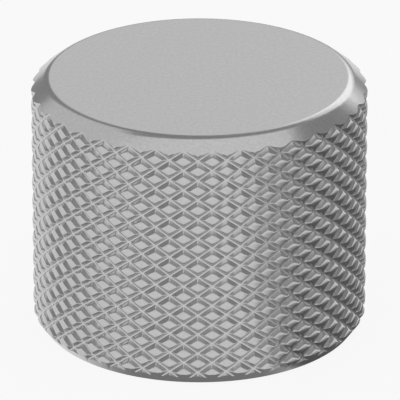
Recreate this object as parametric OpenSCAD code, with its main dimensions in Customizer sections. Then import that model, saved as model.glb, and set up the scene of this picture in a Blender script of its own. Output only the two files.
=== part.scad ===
// Turned knurled knob: one solid piece with a diamond knurl and a tapped hole in its base.
// Millimetres, +Z up. The origin is the centre of the flat base.

/* [Body] */
// Diameter over the lands of the knurl
body_d = 20; // [16:1:26]
// Height from the base to the flat top
body_h = 15.6; // [13:0.2:24]

/* [Edges] */
// Width of the bevel round the flat top, measured along the top
top_bevel_w = 0.95; // [0.7:0.05:1.5]
// Height of the bevel round the flat top
top_bevel_h = 0.78; // [0.6:0.02:1.4]
// Radius that softens the edge between the flat top and its bevel
edge_round = 0.8; // [0.1:0.05:1]
// Width of the bevel round the base, measured along the base
base_bevel_w = 0.55; // [0.4:0.05:1.2]
// Height of the bevel round the base
base_bevel_h = 0.75; // [0.5:0.05:1.5]

/* [Diamond knurl] */
// Distance between two neighbouring grooves, square to the grooves
knurl_pitch = 1; // [0.9:0.05:1.6]
// Angle of the grooves to the base plane, in degrees
knurl_angle = 36; // [30:1:50]
// Depth of the grooves
knurl_depth = 0.15; // [0.1:0.01:0.25]
// Width of the flat land on each diamond, square to its sides
land_w = 0.54; // [0.44:0.02:0.6]
// Width of the flat floor of each groove
floor_w = 0.16; // [0.1:0.02:0.24]
// Height of the centre of one diamond on the front line
knurl_start = 7.6; // [6:0.1:9]
// Turn of that diamond from the front line, in degrees
knurl_turn = -0.5; // [-5:0.5:5]

/* [Tapped hole] */
// Diameter of the drilled bore, which is the crest diameter of its thread
bore_d = 4.2; // [2.5:0.1:5.1]
// Depth of the full bore
bore_depth = 10; // [6:0.5:10]
// Width of the 45 degree countersink round the mouth of the bore
mouth_bevel = 0.7; // [0.5:0.05:1]
// Point angle of the drill that left the blind end, in degrees
drill_angle = 118; // [90:1:140]

/* [Hidden] */
$fn = 96;

// Turned blank
body_r = body_d / 2;
bevel_angle = atan(top_bevel_h / top_bevel_w);
round_start = edge_round * tan(bevel_angle / 2); // from the sharp edge to the start of its round
round_centre = [body_r - top_bevel_w - round_start, body_h - edge_round];
spare = 0.5; // how far the bevels run on outside the lands

// Tapped hole
overlap = 0.01;
mouth_d = bore_d + 2 * mouth_bevel;
drill_tip = bore_d / 2 / tan(drill_angle / 2);

// Knurl: two sets of grooves leave diamonds, in columns that are half a diamond apart
groove_count = round(PI * body_d * sin(knurl_angle) / knurl_pitch);
diamond_w = PI * body_d / groove_count;
diamond_h = diamond_w * tan(knurl_angle);
column_turn = 180 / groove_count;
column_count = 2 * groove_count;
row_rise = diamond_h / 2;
knurl_low = base_bevel_h * (1 - knurl_depth / base_bevel_w);
knurl_high = body_h - top_bevel_h * (1 - knurl_depth / top_bevel_w);
first_row = ceil((knurl_low - knurl_start) / row_rise - 1);
last_row = floor((knurl_high - knurl_start) / row_rise + 1);

// Section of the ridge between two grooves, from a foot sunk into the core to its land
foot_sink = 0.05;
floor_r = body_r - knurl_depth;
foot_r = floor_r - foot_sink;
land_r = sqrt(body_r ^ 2 - (land_w / 2 / sin(knurl_angle)) ^ 2);
wall_w = (diamond_w * sin(knurl_angle) - land_w - floor_w) / 2;
foot_w = land_w + 2 * wall_w * (land_r - foot_r) / (land_r - floor_r);

// Half section of the blank: both bevels run on past the lands, and the top edge is rounded
module blank_section() {
    polygon([
        [0, 0],
        [body_r - base_bevel_w, 0],
        [body_r + spare, base_bevel_h * (1 + spare / base_bevel_w)],
        [body_r + spare, body_h - top_bevel_h * (1 + spare / top_bevel_w)],
        round_centre + edge_round * [sin(bevel_angle), cos(bevel_angle)],
        round_centre + edge_round * [0, 1],
        [0, body_h]
    ]);
    translate(round_centre) circle(r = edge_round);
}

// Blind hole up the middle: the drilled bore, the cone the drill left and a countersunk mouth
module tapped_hole() {
    translate([0, 0, -overlap]) cylinder(d = bore_d, h = bore_depth + overlap);
    translate([0, 0, bore_depth]) cylinder(d1 = bore_d, d2 = 0, h = drill_tip);
    translate([0, 0, -overlap])
        cylinder(d1 = mouth_d + 2 * overlap, d2 = bore_d, h = mouth_bevel + overlap);
}

module blank() {
    difference() {
        rotate_extrude() blank_section();
        tapped_hole();
    }
}

// Straight length of ridge that crosses the front of the X axis at a slant
module ridge(slant) {
    rotate([90 + slant, 0, 0])
        linear_extrude(height = 2 * diamond_w, center = true)
            polygon([[foot_r, -foot_w / 2], [land_r, -land_w / 2], [land_r, land_w / 2], [foot_r, foot_w / 2]]);
}

// One diamond: what stays where the two sets of ridges cross
module diamond() {
    intersection() {
        ridge(knurl_angle);
        ridge(-knurl_angle);
    }
}

module diamonds() {
    for (column = [0 : column_count - 1])
        for (row = [first_row : last_row])
            if ((column + row) % 2 == 0)
                rotate([0, 0, column * column_turn])
                    translate([0, 0, knurl_start + row * row_rise])
                        diamond();
}

module knob() {
    color("silver")
        rotate([0, 0, knurl_turn - 90])
            intersection() {
                blank();
                union() {
                    cylinder(r = floor_r, h = body_h);
                    diamonds();
                }
            }
}

knob();
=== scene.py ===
"""Turned steel knob with a diamond knurl: its looks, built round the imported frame."""

import logging
import math
from dataclasses import dataclass

import bmesh
import bpy
from mathutils import Matrix, Vector


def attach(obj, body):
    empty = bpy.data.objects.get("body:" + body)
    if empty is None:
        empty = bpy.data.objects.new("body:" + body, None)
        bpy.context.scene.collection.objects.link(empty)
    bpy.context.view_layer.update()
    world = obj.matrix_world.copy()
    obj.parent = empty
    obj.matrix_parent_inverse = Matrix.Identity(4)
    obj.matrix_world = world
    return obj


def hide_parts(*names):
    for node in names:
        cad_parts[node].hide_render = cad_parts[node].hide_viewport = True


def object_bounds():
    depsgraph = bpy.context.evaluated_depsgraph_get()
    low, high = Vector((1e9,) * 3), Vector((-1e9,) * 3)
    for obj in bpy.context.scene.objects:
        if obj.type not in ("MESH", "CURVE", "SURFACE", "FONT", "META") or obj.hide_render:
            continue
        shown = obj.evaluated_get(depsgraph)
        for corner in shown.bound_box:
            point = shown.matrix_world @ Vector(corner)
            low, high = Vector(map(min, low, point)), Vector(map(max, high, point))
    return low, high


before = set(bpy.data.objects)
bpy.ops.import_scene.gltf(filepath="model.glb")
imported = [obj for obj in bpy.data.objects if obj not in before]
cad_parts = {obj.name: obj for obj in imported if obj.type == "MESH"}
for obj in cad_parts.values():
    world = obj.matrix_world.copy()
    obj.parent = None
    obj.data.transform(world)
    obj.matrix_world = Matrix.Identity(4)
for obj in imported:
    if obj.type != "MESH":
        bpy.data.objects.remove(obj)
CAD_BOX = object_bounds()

log = logging.getLogger("knurled_knob")

MM = 0.001  # metres
WELD = 0.0004  # millimetres: points this near to each other become one
FINE_CUT = WELD / 4  # millimetres: points of the knurl this near to a cut lie on it
SLIVER = WELD / 2  # millimetres: edges of the thread this short are taken out
NOISE_MIDDLE = 0.5  # mean of a noise texture
UP = Vector((0.0, 0.0, 1.0))
ORIGIN = Vector((0.0, 0.0, 0.0))


def everything(bm: bmesh.types.BMesh) -> list:
    """All points, edges and faces of a mesh, as the operators take them."""
    return [*bm.verts, *bm.edges, *bm.faces]


def edges_of(geometry: list) -> list[bmesh.types.BMEdge]:
    """The edges among mixed geometry."""
    return [part for part in geometry if isinstance(part, bmesh.types.BMEdge)]


def points_of(geometry: list) -> list[bmesh.types.BMVert]:
    """The points among mixed geometry."""
    return [part for part in geometry if isinstance(part, bmesh.types.BMVert)]


def step_in(bm: bmesh.types.BMesh, face: bmesh.types.BMFace, inset: float, rise: float) -> None:
    """Draws the sides of a face evenly inwards and raises the face.

    Args:
        bm: The mesh that holds the face.
        face: The face, which stays in the middle and gets a band round it.
        inset: Width of the band.
        rise: How far the face goes up.
    """
    bmesh.ops.inset_region(bm, faces=[face], thickness=inset, depth=rise,
                           use_boundary=True, use_even_offset=True)


def flatten_onto(bm: bmesh.types.BMesh, points: list, height: float, relief: float) -> None:
    """Brings points of a flat sheet onto one line along X.

    Args:
        bm: The sheet that holds the points.
        points: The points, whose places along X are kept.
        height: Height of the line.
        relief: Relief of the line.
    """
    line = Matrix.Translation((0.0, -height, -relief))
    bmesh.ops.scale(bm, vec=(1.0, 0.0, 0.0), space=line, verts=points)


def sweep_on(bm: bmesh.types.BMesh, edges: list, stops: list[tuple[float, float]]) -> None:
    """Draws a row of edges on across a flat sheet, one stop after another.

    Args:
        bm: The sheet that holds the edges.
        edges: The row of edges, whose places along X are kept.
        stops: Height and relief of each stop.
    """
    for height, relief in stops:
        grown = bmesh.ops.extrude_edge_only(bm, edges=edges)["geom"]
        flatten_onto(bm, points_of(grown), height, relief)
        edges = edges_of(grown)


def roll_up(bm: bmesh.types.BMesh, radius: float, scale: float, start: float) -> None:
    """Rolls a flat sheet into a tube round the upright axis.

    Args:
        bm: The sheet, with its length along X, its height along Y and its relief along Z.
        radius: The radius that a relief of zero lies on.
        scale: The turn in radians that one unit of X makes.
        start: The turn in radians of the line X = 0.
    """
    for point in bm.verts:
        along, height, relief = point.co
        angle = start + along * scale
        reach = radius + relief
        point.co = (reach * math.cos(angle), reach * math.sin(angle), height)


@dataclass(frozen=True)
class TurnedProfile:
    """Half section of the turned body in millimetres, a hair inside the CAD box.

    Attributes:
        radius: Radius over the lands of the knurl.
        height: Height from the base to the flat top.
        top_bevel_width: Width of the top bevel, measured along the top.
        top_bevel_height: Height of the top bevel.
        edge_round: Radius of the edge between the top bevel and the flat top.
        base_bevel_width: Width of the base bevel, measured along the base.
        base_bevel_height: Height of the base bevel.
        round_steps: Flat steps that make up the rounded edge.
    """

    radius: float = 9.994
    height: float = 15.5999
    top_bevel_width: float = 0.95
    top_bevel_height: float = 0.78
    edge_round: float = 0.8
    base_bevel_width: float = 0.55
    base_bevel_height: float = 0.75
    round_steps: int = 7

    @property
    def bevel_angle(self) -> float:
        """Slope of the top bevel from the flat top, in radians."""
        return math.atan2(self.top_bevel_height, self.top_bevel_width)

    @property
    def flat_radius(self) -> float:
        """Radius at which the flat top ends and its rounded edge starts."""
        return self.radius - self.top_bevel_width - self.edge_round * math.tan(self.bevel_angle / 2)

    def edge_arc(self) -> list[tuple[float, float]]:
        """Rounded top edge, from the bevel up to the flat.

        Returns:
            Height and relief of each stop, the end of the bevel first.
        """
        stops = []
        for step in range(self.round_steps + 1):
            slope = self.bevel_angle * (1 - step / self.round_steps)
            height = self.height - self.edge_round * (1 - math.cos(slope))
            reach = self.flat_radius + self.edge_round * math.sin(slope)
            stops.append((height, reach - self.radius))
        return stops


@dataclass(frozen=True)
class DiamondKnurl:
    """Two crossed sets of grooves round the body, in millimetres.

    Attributes:
        grooves: Number of grooves in each set.
        angle: Slope of the grooves from the base, in radians.
        depth: Depth of the grooves below the top of the lands.
        land: Width of a land, square to its sides.
        floor: Width of the floor of a groove.
        crown: Rise of a land from its sides to its middle.
        crown_ring: Place of the ring that bends the crown, as a share of the way to the middle.
        edge_round: How far the rounding of a diamond's edges reaches to either side of them.
        start_height: Height of the middle of the first diamond.
        start_turn: Turn of the first diamond round the body, in radians.
        facets: Upright divisions in the width of one diamond.
        spare_rows: Rows beyond either end, which the bevels cut away.
    """

    grooves: int = 37
    angle: float = math.radians(36)
    depth: float = 0.2
    land: float = 0.54
    floor: float = 0.08
    crown: float = 0.03
    crown_ring: float = 0.5
    edge_round: float = 0.06
    start_height: float = 7.6
    start_turn: float = math.radians(-90.5)
    facets: int = 4
    spare_rows: int = 1

    def width(self, profile: TurnedProfile) -> float:
        """Width of one diamond cell round the body."""
        return math.tau * profile.radius / self.grooves

    def rise(self, profile: TurnedProfile) -> float:
        """Height of one diamond cell."""
        return self.width(profile) * math.tan(self.angle)

    def cell(self, profile: TurnedProfile) -> bmesh.types.BMesh:
        """One diamond with the half grooves round it, laid flat.

        Args:
            profile: The turned body that carries the knurl.

        Returns:
            The cell, centred on the origin, with the top of its land at a relief of zero.
        """
        bm = bmesh.new()
        bmesh.ops.create_circle(bm, cap_ends=True, segments=4, radius=1.0)
        bm.faces.ensure_lookup_table()
        land = bm.faces[0]
        if land.normal.z < 0:
            bmesh.ops.reverse_faces(bm, faces=[land])
        half = (self.width(profile) / 2, self.rise(profile) / 2, 1.0)
        bmesh.ops.scale(bm, vec=half, verts=bm.verts)
        bmesh.ops.translate(bm, vec=(0.0, 0.0, -self.depth), verts=bm.verts)
        step_in(bm, land, self.floor / 2, 0.0)
        wall = (self.width(profile) * math.sin(self.angle) - self.land - self.floor) / 2
        step_in(bm, land, wall, self.depth - self.crown)
        rim = list(land.edges)
        hips = [edge for point in land.verts for edge in point.link_edges if edge not in rim]
        # The crown is a parabola, drawn with one ring and its middle point.
        ring_rise = self.crown * (1 - (1 - self.crown_ring) ** 2)
        step_in(bm, land, self.crown_ring * self.land / 2, ring_rise)
        bmesh.ops.poke(bm, faces=[land], offset=self.crown - ring_rise)
        bmesh.ops.bevel(bm, geom=[*rim, *hips], offset=self.edge_round, segments=2, profile=0.5,
                        affect="EDGES", material=-1, clamp_overlap=True)
        return bm

    def sheet(self, profile: TurnedProfile) -> bmesh.types.BMesh:
        """Two neighbouring columns of diamonds, which repeat round the body.

        Args:
            profile: The turned body that carries the knurl.

        Returns:
            The columns laid flat, reaching past both bevels.
        """
        bm = self.cell(profile)
        step = self.rise(profile) / 2
        first = math.floor(-self.start_height / step) - self.spare_rows
        last = math.ceil((profile.height - self.start_height) / step) + self.spare_rows
        pattern = everything(bm)
        for column in (0, 1):
            for row in range(first, last + 1):
                if (column + row) % 2 == 0:
                    copy = bmesh.ops.duplicate(bm, geom=pattern)["geom"]
                    place = (column * self.width(profile) / 2, self.start_height + row * step, 0.0)
                    bmesh.ops.translate(bm, vec=place, verts=points_of(copy))
        bmesh.ops.delete(bm, geom=points_of(pattern), context="VERTS")
        bmesh.ops.remove_doubles(bm, verts=bm.verts, dist=WELD)
        return bm


@dataclass(frozen=True)
class TappedHole:
    """Blind hole with a metric coarse thread, in millimetres.

    Attributes:
        crest_radius: Radius of the drilled bore, where the crests of the thread lie.
        thread_depth: Depth of the thread, from crest to root.
        pitch: Rise of the thread in one turn.
        crest_flat: Width of the flat crest.
        root_flat: Width of the flat root.
        mouth_radius: Radius of the countersunk mouth.
        mouth_depth: Depth of the countersunk mouth.
        thread_end: Height at which the thread ends.
        bore_depth: Depth of the full bore.
        drill_angle: Point angle of the drill that left the blind end, in radians.
        steps: Flat steps in one turn of the wall.
    """

    crest_radius: float = 2.1
    thread_depth: float = 0.39
    pitch: float = 0.8
    crest_flat: float = 0.24
    root_flat: float = 0.1
    mouth_radius: float = 2.8
    mouth_depth: float = 0.7
    thread_end: float = 9.3
    bore_depth: float = 10.0
    drill_angle: float = math.radians(118)
    steps: int = 48

    def _draw_section(self, bm: bmesh.types.BMesh) -> None:
        """Draws the section of the thread up the line X = 0.

        Args:
            bm: The empty mesh that the section goes into.
        """
        flank = (self.pitch - self.crest_flat - self.root_flat) / 2
        root_start = self.crest_flat + flank
        heights = (0.0, self.crest_flat, root_start, root_start + self.root_flat, self.pitch)
        reliefs = (0.0, 0.0, self.thread_depth, self.thread_depth, 0.0)
        points = [bm.verts.new((0.0, height, relief)) for height, relief in zip(heights, reliefs)]
        tooth = [*points, *(bm.edges.new(pair) for pair in zip(points, points[1:]))]
        # The first tooth lies below the base, because the sheet climbs one pitch on its way round.
        for turn in range(1, math.ceil(self.thread_end / self.pitch) + 1):
            copy = bmesh.ops.duplicate(bm, geom=tooth)["geom"]
            bmesh.ops.translate(bm, vec=(0.0, turn * self.pitch, 0.0), verts=points_of(copy))
        bmesh.ops.remove_doubles(bm, verts=bm.verts, dist=WELD)
        bmesh.ops.translate(bm, vec=(0.0, -self.pitch, 0.0), verts=bm.verts)

    def _wind(self, bm: bmesh.types.BMesh) -> None:
        """Winds the section through one turn, as a sheet that is still flat.

        Args:
            bm: The mesh that holds the section.
        """
        edges = list(bm.edges)
        lead = (math.tau / self.steps, self.pitch / self.steps, 0.0)
        for _ in range(self.steps):
            grown = bmesh.ops.extrude_edge_only(bm, edges=edges)["geom"]
            bmesh.ops.translate(bm, vec=lead, verts=points_of(grown))
            edges = edges_of(grown)

    def _end_thread(self, bm: bmesh.types.BMesh, height: float, way: float,
                    stops: list[tuple[float, float]]) -> None:
        """Cuts the thread off level and draws the plain wall on from there.

        Args:
            bm: The flat sheet of thread.
            height: Height of the cut.
            way: 1 to cut away what is above that height, -1 for what is below it.
            stops: Height and relief of each stop of the plain wall.
        """
        cut = bmesh.ops.bisect_plane(bm, geom=everything(bm), dist=WELD, clear_outer=True,
                                     plane_co=(0.0, height, 0.0), plane_no=(0.0, way, 0.0))
        sweep_on(bm, edges_of(cut["geom_cut"]), [(height, 0.0), *stops])

    def build(self) -> bmesh.types.BMesh:
        """The wall of the hole, from its mouth to the cone that the drill left.

        Returns:
            A tube that is open at its mouth.
        """
        bm = bmesh.new()
        self._draw_section(bm)
        self._wind(bm)
        self._end_thread(bm, self.mouth_depth, -1.0, [(0.0, self.mouth_radius - self.crest_radius)])
        tip = self.bore_depth + self.crest_radius / math.tan(self.drill_angle / 2)
        self._end_thread(bm, self.thread_end, 1.0, [(self.bore_depth, 0.0), (tip, -self.crest_radius)])
        roll_up(bm, radius=self.crest_radius, scale=1.0, start=0.0)
        bmesh.ops.remove_doubles(bm, verts=bm.verts, dist=WELD)
        bmesh.ops.dissolve_degenerate(bm, dist=SLIVER, edges=bm.edges)
        return bm


@dataclass(frozen=True)
class KnobBody:
    """The one turned piece: knurled side, bevels, flat top, base and tapped hole.

    Attributes:
        profile: Half section of the body.
        knurl: The grooves round its side.
        hole: The hole in its base.
        top_rings: Radii in millimetres of the rings that divide the flat top, its centre last.
        sharp_angle: Bend in radians from which an edge is shaded as a sharp one.
    """

    profile: TurnedProfile = TurnedProfile()
    knurl: DiamondKnurl = DiamondKnurl()
    hole: TappedHole = TappedHole()
    top_rings: tuple[float, ...] = (4.0, 0.0)
    sharp_angle: float = math.radians(28)

    def _bevel(self, bm: bmesh.types.BMesh, edge: tuple[float, float, float],
               slope: tuple[float, float, float], end: tuple[float, float]) -> None:
        """Cuts the sheet at a bevel and closes the bevel's own face.

        Args:
            bm: The flat sheet of diamonds.
            edge: A point on the line where the bevel meets the lands.
            slope: The way the bevel faces.
            end: Height and relief of the line where the bevel ends.
        """
        cut = bmesh.ops.bisect_plane(bm, geom=everything(bm), dist=FINE_CUT, clear_outer=True,
                                     plane_co=edge, plane_no=Vector(slope).normalized())
        line = edges_of(cut["geom_cut"])
        corners = [point for point in points_of(cut["geom_cut"])
                   if sum(side in line for side in point.link_edges) == 1]
        grown = bmesh.ops.extrude_vert_indiv(bm, verts=corners)
        flatten_onto(bm, grown["verts"], *end)
        foot = bmesh.ops.contextual_create(bm, geom=grown["verts"])["edges"]
        bmesh.ops.contextual_create(bm, geom=[*line, *grown["edges"], *foot])

    def _segment(self) -> bmesh.types.BMesh:
        """One of the equal segments that make up the outside of the knob.

        Returns:
            The segment laid flat, from the edge of the base to the centre of the top.
        """
        body, knurl = self.profile, self.knurl
        bm = knurl.sheet(body)
        arc = body.edge_arc()
        top_edge = (0.0, body.height - body.top_bevel_height, 0.0)
        self._bevel(bm, top_edge, (0.0, body.top_bevel_width, body.top_bevel_height), arc[0])
        base_edge = (0.0, body.base_bevel_height, 0.0)
        self._bevel(bm, base_edge, (0.0, -body.base_bevel_width, body.base_bevel_height),
                    (0.0, -body.base_bevel_width))
        # The sheet reaches from half a diamond left of X = 0 to a whole one right of it, and
        # upright cuts let its flat faces bend when it is rolled up.
        facet = knurl.width(body) / knurl.facets
        for line in range(1 - knurl.facets // 2, knurl.facets):
            bmesh.ops.bisect_plane(bm, geom=everything(bm), dist=FINE_CUT,
                                   plane_co=(line * facet, 0.0, 0.0), plane_no=(1.0, 0.0, 0.0))
        rim = [edge for edge in bm.edges if edge.is_boundary
               and all(abs(point.co.y - arc[0][0]) < WELD for point in edge.verts)]
        flats = [(body.height, ring - body.radius) for ring in self.top_rings]
        sweep_on(bm, rim, [*arc[1:], *flats])
        return bm

    def _outside(self) -> bmesh.types.BMesh:
        """The outside of the knob, one segment for each groove of a set.

        Returns:
            The outside, open at the base.
        """
        radius, grooves = self.profile.radius, self.knurl.grooves
        bm = self._segment()
        roll_up(bm, radius=radius, scale=1.0 / radius, start=self.knurl.start_turn)
        copies = grooves - 1
        bmesh.ops.spin(bm, geom=everything(bm), cent=ORIGIN, axis=UP, dvec=ORIGIN,
                       angle=math.tau / grooves * copies, steps=copies, use_duplicate=True)
        bmesh.ops.remove_doubles(bm, verts=bm.verts, dist=WELD)
        return bm

    def _add_hole(self, bm: bmesh.types.BMesh) -> None:
        """Adds the wall of the tapped hole and closes the base round its mouth.

        Args:
            bm: The outside of the knob, open at the base.
        """
        hole = self.hole.build()
        wall = bpy.data.meshes.new("hole_wall")
        hole.to_mesh(wall)
        hole.free()
        bm.from_mesh(wall)
        bpy.data.meshes.remove(wall)
        rings = [edge for edge in bm.edges if edge.is_boundary]
        bmesh.ops.triangle_fill(bm, use_beauty=True, edges=rings, normal=-UP)
        bmesh.ops.recalc_face_normals(bm, faces=bm.faces)

    def mesh(self) -> bpy.types.Mesh:
        """The whole knob as one closed mesh.

        Returns:
            The mesh, in metres.
        """
        bm = self._outside()
        self._add_hole(bm)
        for face in bm.faces:
            face.smooth = True
        for edge in bm.edges:
            edge.smooth = edge.is_manifold and edge.calc_face_angle(0.0) < self.sharp_angle
        bmesh.ops.scale(bm, vec=(MM, MM, MM), verts=bm.verts)
        mesh = bpy.data.meshes.new("knurled_knob")
        bm.to_mesh(mesh)
        open_edges = sum(1 for edge in bm.edges if not edge.is_manifold)
        log.info("knob mesh: %d faces, %d open edges", len(bm.faces), open_edges)
        bm.free()
        return mesh

    def build(self, finish: bpy.types.Material) -> bpy.types.Object:
        """Makes the piece, dresses it and sets it on its body.

        Args:
            finish: The metal that the piece is turned from.

        Returns:
            The piece.
        """
        mesh = self.mesh()
        mesh.materials.append(finish)
        piece = bpy.data.objects.new("knurled_body", mesh)
        bpy.context.scene.collection.objects.link(piece)
        normals = piece.modifiers.new("weighted_normal", "WEIGHTED_NORMAL")
        normals.keep_sharp = True
        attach(piece, "root")
        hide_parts("knob")
        return piece


def new_group(name: str, inputs: tuple[str, ...], outputs: tuple[str, ...]) -> bpy.types.NodeTree:
    """Makes an empty shader node group with its sockets, which all carry plain values.

    Args:
        name: The group's name.
        inputs: Name of each input.
        outputs: Name of each output.

    Returns:
        The group, with its input and output nodes in place.
    """
    group = bpy.data.node_groups.new(name, "ShaderNodeTree")
    for way, labels in (("INPUT", inputs), ("OUTPUT", outputs)):
        for label in labels:
            group.interface.new_socket(name=label, in_out=way, socket_type="NodeSocketFloat")
    group.nodes.new("NodeGroupInput")
    group.nodes.new("NodeGroupOutput")
    return group


def math_node(tree: bpy.types.NodeTree, operation: str,
              *terms: bpy.types.NodeSocket | float) -> bpy.types.NodeSocket:
    """Adds one Math node to a tree.

    Args:
        tree: The node tree.
        operation: What the node does with its terms.
        terms: A socket or a plain number for each input, in order.

    Returns:
        The socket that gives the result.
    """
    node = tree.nodes.new("ShaderNodeMath")
    node.operation = operation
    for socket, term in zip(node.inputs, terms):
        if isinstance(term, bpy.types.NodeSocket):
            tree.links.new(term, socket)
        else:
            socket.default_value = term
    return node.outputs["Value"]


@dataclass(frozen=True)
class MetalGrain:
    """Fine blasted grain and faint cloudiness of turned stainless steel.

    Attributes:
        grain_scale: Scale of the fine grain.
        grain_detail: Octaves in the fine grain.
        cloud_scale: Scale of the clouds.
        cloud_detail: Octaves in the clouds.
    """

    grain_scale: float = 5200.0
    grain_detail: float = 2.0
    cloud_scale: float = 260.0
    cloud_detail: float = 3.0

    def _noise(self, tree: bpy.types.NodeTree, scale: float, detail: float) -> bpy.types.NodeSocket:
        """Adds a noise texture that is fixed to the piece.

        Args:
            tree: The node tree of the group.
            scale: Scale of the texture.
            detail: Octaves in the texture.

        Returns:
            The socket that gives the noise.
        """
        place = tree.nodes.new("ShaderNodeTexCoord")
        texture = tree.nodes.new("ShaderNodeTexNoise")
        texture.inputs["Scale"].default_value = scale
        texture.inputs["Detail"].default_value = detail
        tree.links.new(place.outputs["Object"], texture.inputs["Vector"])
        return texture.outputs["Fac"]

    def group(self) -> bpy.types.NodeTree:
        """Builds the node group that a steel finish takes its grain from.

        Returns:
            A group with tone and roughness factors and a grain height.
        """
        group = new_group("metal_grain", ("Tone Change", "Roughness Change"),
                          ("Tone", "Roughness", "Height"))
        source = group.nodes["Group Input"]
        sink = group.nodes["Group Output"]
        grain = self._noise(group, self.grain_scale, self.grain_detail)
        cloud = self._noise(group, self.cloud_scale, self.cloud_detail)
        for label, noise in (("Tone", grain), ("Roughness", cloud)):
            centred = math_node(group, "SUBTRACT", noise, NOISE_MIDDLE)
            factor = math_node(group, "MULTIPLY_ADD", centred, source.outputs[f"{label} Change"], 1.0)
            group.links.new(factor, sink.inputs[label])
        group.links.new(grain, sink.inputs["Height"])
        return group


@dataclass(frozen=True)
class SatinSteel:
    """Stainless steel with a satin finish: soft reflections and a fine even grain.

    Attributes:
        tone: Grey of the metal.
        roughness: Roughness of the metal.
        tone_change: How much the grain changes the tone, as a share of it.
        roughness_change: How much the clouds change the roughness, as a share of it.
        grain_height: Height of the grain, in metres.
        grain_strength: Strength of the bump that the grain makes.
    """

    tone: float = 0.6
    roughness: float = 0.2
    tone_change: float = 0.2
    roughness_change: float = 0.12
    grain_height: float = 0.004 * MM
    grain_strength: float = 0.35

    def material(self, grain: bpy.types.NodeTree) -> bpy.types.Material:
        """Builds the finish as a node material.

        Args:
            grain: The node group of the metal's grain.

        Returns:
            The material.
        """
        material = bpy.data.materials.new("satin_steel")
        material.use_nodes = True
        nodes, links = material.node_tree.nodes, material.node_tree.links
        shader = nodes["Principled BSDF"]
        shader.inputs["Metallic"].default_value = 1.0
        effect = nodes.new("ShaderNodeGroup")
        effect.node_tree = grain
        effect.inputs["Tone Change"].default_value = self.tone_change
        effect.inputs["Roughness Change"].default_value = self.roughness_change
        tint = nodes.new("ShaderNodeVectorMath")
        tint.operation = "SCALE"
        tint.inputs[0].default_value = (self.tone, self.tone, self.tone)
        links.new(effect.outputs["Tone"], tint.inputs["Scale"])
        links.new(tint.outputs["Vector"], shader.inputs["Base Color"])
        gloss = math_node(material.node_tree, "MULTIPLY", effect.outputs["Roughness"], self.roughness)
        links.new(gloss, shader.inputs["Roughness"])
        bump = nodes.new("ShaderNodeBump")
        bump.inputs["Strength"].default_value = self.grain_strength
        bump.inputs["Distance"].default_value = self.grain_height
        links.new(effect.outputs["Height"], bump.inputs["Height"])
        links.new(bump.outputs["Normal"], shader.inputs["Normal"])
        return material


@dataclass(frozen=True)
class PaintedSlopeShade:
    """Painted shade by the slope of the view: the level that the floor shows in mirrors, lower for the
    steep views that see the floor near the knob.

    Attributes:
        steep_facing: Facing value of the view from which the level starts to rise, where 0
            looks straight down and 1 looks along the floor.
        steep_level: Level up to that view.
        shallow_facing: Facing value of the view at which the level stops rising.
        shallow_level: Level from that view on.
    """

    steep_facing: float
    steep_level: float
    shallow_facing: float
    shallow_level: float = 1.0

    def wire(self, tree: bpy.types.NodeTree) -> bpy.types.NodeSocket:
        """Adds the nodes that find the level with its painted shade.

        Args:
            tree: The node tree of the floor's material.

        Returns:
            The socket that gives the level.
        """
        slope = tree.nodes.new("ShaderNodeLayerWeight")
        level = tree.nodes.new("ShaderNodeMapRange")
        level.inputs["From Min"].default_value = self.steep_facing
        level.inputs["From Max"].default_value = self.shallow_facing
        level.inputs["To Min"].default_value = self.steep_level
        level.inputs["To Max"].default_value = self.shallow_level
        tree.links.new(slope.outputs["Facing"], level.inputs["Value"])
        return level.outputs["Result"]


@dataclass(frozen=True)
class PaintedShadowFan:
    """Painted shadow of the knob on one side of the floor, which only mirrors see and which fades out
    at both its ends.

    Attributes:
        centre: The point that the fan opens from, in metres.
        stops: Place round the centre and level there. The place is a share of a turn, which
            starts at -X and goes by the front.
        painted_slope_shade: Least level that the painted shadow leaves, by the slope of the view.
    """

    centre: tuple[float, float, float] = (0.005, -0.009, 0.0)
    stops: tuple[tuple[float, float], ...] = ((0.28, 1.0), (0.48, 0.1), (0.65, 0.1), (0.76, 0.9))
    painted_slope_shade: PaintedSlopeShade = PaintedSlopeShade(steep_facing=0.58, steep_level=0.1, shallow_facing=0.72)

    def wire(self, tree: bpy.types.NodeTree, level: bpy.types.NodeSocket) -> bpy.types.NodeSocket:
        """Adds the nodes that paint a shadow on one side of a level.

        Args:
            tree: The node tree of the floor's material.
            level: The level that the floor shows in mirrors elsewhere.

        Returns:
            The socket that gives the level with its painted shadow.
        """
        nodes, links = tree.nodes, tree.links
        place = nodes.new("ShaderNodeTexCoord")
        centred = nodes.new("ShaderNodeVectorMath")
        centred.operation = "SUBTRACT"
        centred.inputs[1].default_value = self.centre
        links.new(place.outputs["Object"], centred.inputs[0])
        around = nodes.new("ShaderNodeTexGradient")
        around.gradient_type = "RADIAL"
        links.new(centred.outputs["Vector"], around.inputs["Vector"])
        shadow_fan = nodes.new("ShaderNodeValToRGB")
        ramp = shadow_fan.color_ramp.elements
        for position, _ in self.stops[1:-1]:
            ramp.new(position)
        for stop, (position, tone) in zip(ramp, self.stops):
            stop.position = position
            stop.color = (tone, tone, tone, 1.0)
        links.new(around.outputs["Fac"], shadow_fan.inputs["Fac"])
        # Painted shadow, kept to the steep views that see the floor near the knob.
        shaded = math_node(tree, "MAXIMUM", shadow_fan.outputs["Color"], self.painted_slope_shade.wire(tree))
        return math_node(tree, "MINIMUM", shaded, level)


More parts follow.
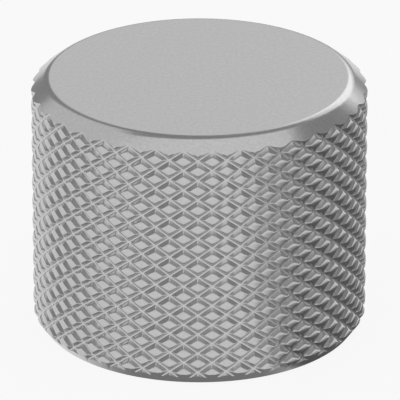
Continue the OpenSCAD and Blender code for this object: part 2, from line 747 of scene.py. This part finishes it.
@dataclass(frozen=True)
class Floor:
    """Pale paper that the camera sees as white and mirrors see by its mirror tone, with painted shade
    and a painted shadow.

    Attributes:
        size: Length of each side, in metres.
        tone: Grey of the paper.
        white_share: Share of plain white, over the paper with its shadows.
        painted_slope_shade: Level that it shows in mirrors, with painted shade in steep views.
        painted_shadow: Painted shadow of the knob on one side of it, which only mirrors see.
    """

    size: float = 6.0
    tone: float = 0.8
    white_share: float = 0.9
    # Painted shade: mirrors see the floor dimmer in steep views, near the knob.
    painted_slope_shade: PaintedSlopeShade = PaintedSlopeShade(
        steep_facing=0.1,
        steep_level=0.25,
        shallow_facing=0.3,
        shallow_level=0.92,
    )
    # Painted shadow of the knob on one side of the floor, seen only in mirrors.
    painted_shadow: PaintedShadowFan = PaintedShadowFan()

    def lay(self) -> None:
        """Lays the floor under the knob and marks it as part of the stage."""
        bm = bmesh.new()
        bmesh.ops.create_grid(bm, x_segments=1, y_segments=1, size=self.size / 2)
        mesh = bpy.data.meshes.new("floor")
        bm.to_mesh(mesh)
        bm.free()
        mesh.materials.append(self._material())
        sheet = bpy.data.objects.new("floor", mesh)
        bpy.context.scene.collection.objects.link(sheet)

    def _material(self) -> bpy.types.Material:
        """Builds the floor's finish.

        Returns:
            Dull paper that keeps its shadows, mixed with a white glow that is plain for the camera and
            carries painted shade and a painted shadow for mirrors.
        """
        material = bpy.data.materials.new("floor")
        material.use_nodes = True
        tree = material.node_tree
        nodes, links = tree.nodes, tree.links
        paper = nodes["Principled BSDF"]
        paper.inputs["Base Color"].default_value = (self.tone, self.tone, self.tone, 1.0)
        paper.inputs["Roughness"].default_value = 1.0
        paper.inputs["Specular IOR Level"].default_value = 0.0
        path = nodes.new("ShaderNodeLightPath")
        camera = path.outputs["Is Camera Ray"]
        seen = camera
        for ray in ("Is Glossy Ray", "Is Transmission Ray"):
            seen = math_node(tree, "MAXIMUM", seen, path.outputs[ray])
        share = math_node(tree, "MULTIPLY", seen, self.white_share)
        # Mirrors see the glow with painted shade in steep views and a painted shadow on one side.
        level = self.painted_shadow.wire(tree, self.painted_slope_shade.wire(tree))
        glow = nodes.new("ShaderNodeEmission")
        links.new(math_node(tree, "MAXIMUM", level, camera), glow.inputs["Strength"])
        mix = nodes.new("ShaderNodeMixShader")
        links.new(share, mix.inputs["Fac"])
        links.new(paper.outputs["BSDF"], mix.inputs[1])
        links.new(glow.outputs["Emission"], mix.inputs[2])
        links.new(mix.outputs["Shader"], nodes["Material Output"].inputs["Surface"])
        return material


@dataclass(frozen=True)
class SoftBox:
    """One soft lamp that faces the knob.

    Attributes:
        name: The lamp's name.
        direction: The way to the lamp from the middle of the knob.
        size: Its two sides, in metres.
        level: How bright a mirror shows it, where 1 is white.
    """

    name: str
    direction: tuple[float, float, float]
    size: tuple[float, float]
    level: float

    def light(self, reach: float, target: Vector) -> None:
        """Hangs the lamp in the scene.

        Args:
            reach: Distance from the knob in metres.
            target: The point that the lamp faces.
        """
        lamp = bpy.data.lights.new(self.name, "AREA")
        lamp.shape = "RECTANGLE"
        lamp.size, lamp.size_y = self.size
        lamp.energy = self.level * math.pi * self.size[0] * self.size[1]
        way = Vector(self.direction).normalized()
        holder = bpy.data.objects.new(self.name, lamp)
        holder.location = target + way * reach
        holder.rotation_euler = way.to_track_quat("Z", "Y").to_euler()
        holder.visible_camera = False
        bpy.context.scene.collection.objects.link(holder)


@dataclass(frozen=True)
class Studio:
    """Pale floor, soft lamps and the even tone of the room.

    Attributes:
        floor: The floor.
        reach: Distance from the lamps to the middle of the knob, in metres.
        room_tone: Grey of the room beyond the lamps.
        boxes: The lamps.
    """

    floor: Floor = Floor()
    reach: float = 0.25
    room_tone: float = 0.3
    boxes: tuple[SoftBox, ...] = (
        SoftBox("box_top", (0.1, -0.35, 0.93), (0.38, 0.25), 0.52),
        SoftBox("box_front", (0.0, -0.87, 0.5), (0.6, 0.2), 0.06),
        SoftBox("box_low_front", (0.0, -1.0, 0.09), (0.45, 0.11), 0.4),
        SoftBox("box_left", (-0.71, 0.29, 0.64), (0.24, 0.24), 0.4),
        SoftBox("box_back", (0.24, 0.88, 0.41), (0.25, 0.12), 0.46),
        SoftBox("box_back_right", (0.35, 0.76, 0.54), (0.13, 0.13), 0.65),
    )

    def build(self) -> None:
        """Lays the floor, sets the tone of the room and hangs every lamp."""
        self.floor.lay()
        world = bpy.data.worlds.new("studio")
        world.use_nodes = True
        tone = (self.room_tone, self.room_tone, self.room_tone, 1.0)
        world.node_tree.nodes["Background"].inputs["Color"].default_value = tone
        bpy.context.scene.world = world
        low, high = (Vector(corner) for corner in CAD_BOX)
        middle = (low + high) / 2
        for box in self.boxes:
            box.light(self.reach, middle)


@dataclass(frozen=True)
class Viewpoint:
    """Where the camera stands, and its lens.

    Attributes:
        elevation: Angle by which the camera looks down, in radians.
        distance: Distance from the point that it aims at, in metres.
        aim_height: Height of that point, in metres.
        lens: Focal length, in millimetres.
        sensor: Width of the sensor, in millimetres.
        shift: Sideways shift of the lens, as a share of the view.
        far_limit: Distance beyond which nothing shows, in metres.
    """

    elevation: float = math.radians(24.2)
    distance: float = 0.3602
    aim_height: float = 0.00753
    lens: float = 542.0
    sensor: float = 36.0
    shift: float = 0.0016
    far_limit: float = 10.0

    def place(self) -> None:
        """Sets up the camera."""
        data = bpy.data.cameras.new("camera")
        data.lens = self.lens
        data.sensor_width = self.sensor
        data.shift_x = self.shift
        data.clip_end = self.far_limit
        camera = bpy.data.objects.new("camera", data)
        back = -self.distance * math.cos(self.elevation)
        height = self.aim_height + self.distance * math.sin(self.elevation)
        camera.location = (0.0, back, height)
        camera.rotation_euler = (math.pi / 2 - self.elevation, 0.0, 0.0)
        bpy.context.scene.collection.objects.link(camera)
        bpy.context.scene.camera = camera


def main() -> None:
    """Builds the knob, its finish and the studio."""
    logging.basicConfig(level=logging.INFO)
    bpy.context.scene.view_settings.view_transform = "Standard"
    Viewpoint().place()
    steel = SatinSteel().material(MetalGrain().group())
    piece = KnobBody().build(steel)
    log.info("%s placed", piece.name)
    Studio().build()
    log.info("studio placed")


if __name__ == "__main__":
    main()
